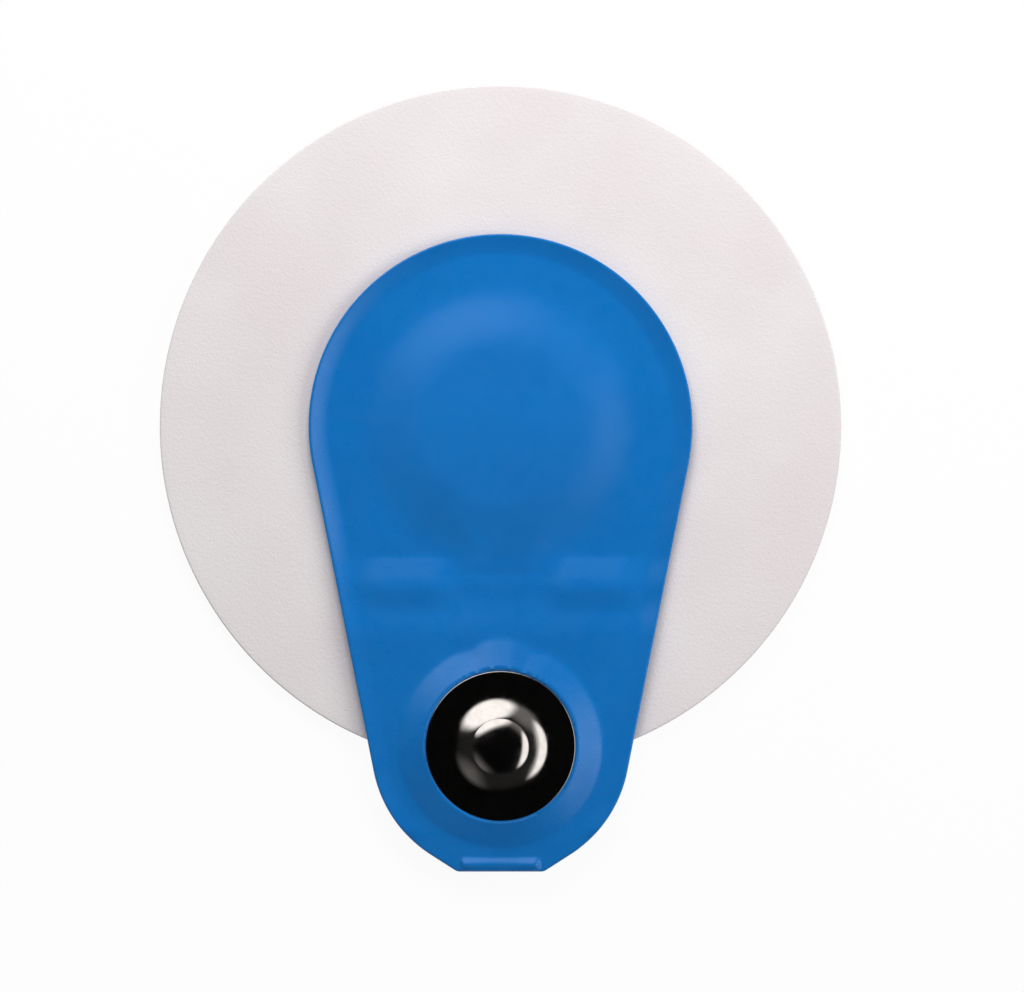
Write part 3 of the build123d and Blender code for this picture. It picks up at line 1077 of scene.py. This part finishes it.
@dataclass(frozen=True)
class Card:
    """Bright board of the studio that only the reflections see.

    Angles are in degrees: azimuth from +X towards +Y, and elevation above the floor.
    """

    azimuth: float
    elevation: float
    half_width: float
    half_height: float
    strength: float
    soft: float = 0.25

    def axes(self) -> tuple[Vector, Vector, Vector]:
        """Directions towards the board, across it and up it."""
        a, e = math.radians(self.azimuth), math.radians(self.elevation)
        ahead = Vector((math.cos(e) * math.cos(a), math.cos(e) * math.sin(a), math.sin(e)))
        across = Vector((-math.sin(a), math.cos(a), 0.0))
        return ahead, across, ahead.cross(across)

    def glow(self, book: NodeBook, way: Socket) -> Socket:
        """Brightness of the board in each direction.

        Args:
            book: Nodes of the world.
            way: Direction that is looked in.

        Returns:
            The board's strength inside its outline, fading at its edge.
        """
        ahead, across, up = self.axes()
        x = book.math("DIVIDE", book.dot(way, across), math.sin(math.radians(self.half_width)))
        y = book.math("DIVIDE", book.dot(way, up), math.sin(math.radians(self.half_height)))
        off = book.math("SQRT", book.math("ADD", book.math("MULTIPLY", x, x), book.math("MULTIPLY", y, y)))
        inside = book.spread(off, 1.0 - self.soft, 1.0 + self.soft, self.strength, 0.0)
        return book.math("MULTIPLY", inside, book.math("GREATER_THAN", book.dot(way, ahead), 0.0))


@dataclass(frozen=True)
class Studio:
    """Camera, floor, lamps and surroundings.

    Each lamp has its name, azimuth and elevation in degrees, and power in watts. Heights are those of a
    direction: 0 at the horizon and 1 overhead.
    """

    pixels_per_mm: float = 14.2
    picture_width: float = 1024.0
    sensor_width: float = 36.0
    lens: float = 250.0
    camera_x: float = 0.81
    camera_y: float = -4.93
    lamps: tuple = (("key", 98.0, 40.0, 0.206), ("side", 5.0, 38.0, 0.112))
    lamp_distance: float = 0.17
    lamp_size: float = 0.10
    fill: float = 0.27
    floor_half_size: float = 3.0
    floor_level: float = -0.00003
    floor_colour: tuple = (0.9, 0.9, 0.9, 1.0)
    floor_glow: float = 0.94
    white: tuple = (1.0, 1.0, 1.0, 1.0)
    room_colour: tuple = (1.0, 0.985, 0.97, 1.0)
    horizon_heights: Point = (0.02, 0.12)
    horizon_glow: float = 0.9
    overhead_heights: Point = (0.5, 0.9)
    overhead_glow: Point = (0.016, 0.002)
    cards: tuple = (
        Card(112.0, 37.0, 33.0, 29.5, 1.42, 0.2),
        Card(-8.0, 47.5, 28.0, 14.0, 1.3, 0.25),
        Card(50.0, 40.0, 20.0, 18.0, 0.16, 0.6),
        Card(-137.0, 42.0, 15.0, 15.0, 0.12, 0.8),
    )

    def camera(self) -> None:
        """Look straight down on the part, with the tab at the bottom of the picture."""
        data = bpy.data.cameras.new("camera")
        data.lens = self.lens
        data.sensor_width = self.sensor_width
        data.clip_start, data.clip_end = 0.01, 20.0
        camera = show("camera", data)
        distance = self.picture_width / self.pixels_per_mm * self.lens / self.sensor_width
        camera.location = (self.camera_x * MM, self.camera_y * MM, (PAD_TOP + distance) * MM)
        bpy.context.scene.camera = camera

    def floor(self) -> None:
        """Pale floor that shows white and keeps the part's soft shadow."""
        mesh = bpy.data.meshes.new("floor")
        size = self.floor_half_size
        corners = [(-size, -size), (size, -size), (size, size), (-size, size)]
        mesh.from_pydata([(*corner, self.floor_level) for corner in corners], [], [(0, 1, 2, 3)])
        floor = show("floor", mesh)
        material = bpy.data.materials.new("floor_white")
        material.use_nodes = True
        book = NodeBook(material.node_tree)
        matt = book.add("ShaderNodeBsdfDiffuse", {"Color": self.floor_colour})
        light = book.add("ShaderNodeEmission")
        seen = book.rays(Ray.CAMERA, Ray.GLOSSY, Ray.TRANSMISSION)
        glow = book.mix(book.math("MULTIPLY", seen, self.floor_glow), matt.outputs[0], light.outputs[0])
        book.add("ShaderNodeOutputMaterial", {"Surface": glow})
        mesh.materials.append(material)

    def light(self) -> None:
        """Soft square lamps at the top and the right, so near that their light falls off over the part."""
        for name, azimuth, elevation, power in self.lamps:
            data = bpy.data.lights.new(name, "AREA")
            data.size = self.lamp_size
            data.energy = power
            lamp = show(name, data)
            towards = Card(azimuth, elevation, 1.0, 1.0, 1.0).axes()[0]
            lamp.location = towards * self.lamp_distance + Vector((0.0, self.camera_y * MM, 0.0))
            lamp.rotation_mode = "QUATERNION"
            lamp.rotation_quaternion = towards.to_track_quat("Z", "Y")
            lamp.visible_glossy = False

    def surroundings(self) -> None:
        """White for the camera, an even fill for matt surfaces, and for gloss boards in a dim room.

        The room is as white as the floor just above the horizon, and darkest overhead.
        """
        world = bpy.data.worlds.new("studio")
        bpy.context.scene.world = world
        world.use_nodes = True
        world.cycles.sampling_method = "NONE"
        book = NodeBook(world.node_tree)
        way = book.add("ShaderNodeTexCoord").outputs["Generated"]
        height = book.dot(way, Vector((0.0, 0.0, 1.0)))
        overhead = book.spread(height, *self.overhead_heights, *self.overhead_glow)
        horizon = book.spread(height, *self.horizon_heights, self.horizon_glow, 0.0)
        glow = book.math("ADD", overhead, horizon)
        for card in self.cards:
            glow = book.math("ADD", glow, card.glow(book, way))
        backgrounds = ((self.room_colour, glow), (self.white, self.fill), (self.white, 1.0))
        room, fill, white = (
            book.add("ShaderNodeBackground", {"Color": colour, "Strength": strength})
            for colour, strength in backgrounds
        )
        matt = book.mix(book.rays(Ray.DIFFUSE), room.outputs[0], fill.outputs[0])
        seen = book.mix(book.rays(Ray.CAMERA), matt, white.outputs[0])
        book.add("ShaderNodeOutputWorld", {"Surface": seen})

    def build(self) -> None:
        """Set up the studio."""
        self.camera()
        self.floor()
        self.light()
        self.surroundings()
        bpy.context.scene.view_settings.view_transform = "Standard"


def dress_hidden_nodes() -> None:
    """Give the strip and the eyelet, which stay as CAD nodes, their finishes."""
    eyelet = MetalFinish("nickel_satin", roughness=0.2)
    for node, material, slot in (
        ("sensor_strip", ConductorFinish().material(), Slot.CONDUCTOR),
        ("snap_eyelet", eyelet.material(), Slot.EYELET),
    ):
        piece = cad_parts[node]
        piece.data.materials.clear()
        piece.data.materials.append(material)
        LOG.info("%s keeps its CAD mesh, slot %s", node, slot.value)


def main() -> None:
    """Build the electrode and its studio."""
    logging.basicConfig(level=logging.INFO, format="%(name)s: %(message)s")
    Studio().build()
    spin = SpinTree()
    label = TabLabel()
    label.build(FilmFinish().material())
    FoamPad().build(spin, label.outline, FoamFinish().material())
    GelSponge().build(spin, GelFinish().material())
    Stud().build(spin, MetalFinish().material())
    Patch().build(spin, PatchFinish().material())
    dress_hidden_nodes()


if __name__ == "__main__":
    main()
